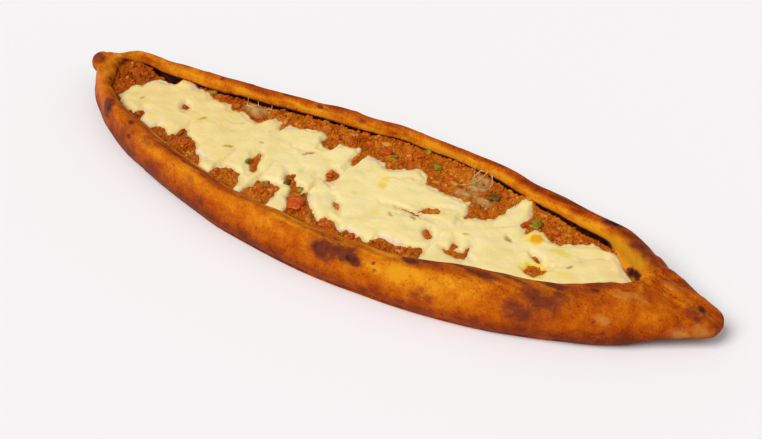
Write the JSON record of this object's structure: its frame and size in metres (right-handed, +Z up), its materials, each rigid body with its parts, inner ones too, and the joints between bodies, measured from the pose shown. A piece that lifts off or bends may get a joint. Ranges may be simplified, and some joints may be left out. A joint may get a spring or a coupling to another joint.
{
  "type": "open minced meat pide",
  "caption": "Boat-shaped baked flatbread with a rolled rim, a pinched knob and a long pinched nose, filled with minced meat under a sheet of melted cheese.",
  "frame": {"origin": "middle of the bread's box, on the plane it lies on", "axes": "+X along the bread to its long nose, -Y to its fuller side, +Z up out of the trough"},
  "size_m": [0.4498, 0.129, 0.0282],
  "materials": {
    "baked_dough": "satin, baked crust",
    "minced_meat": "satin, moist and crumbly",
    "melted_cheese": "satin, soft sheen"
  },
  "bodies": {
    "root": {"dough_crust": "baked_dough", "meat_filling": "minced_meat", "melted_cheese": "melted_cheese"}
  },
  "joints": []
}
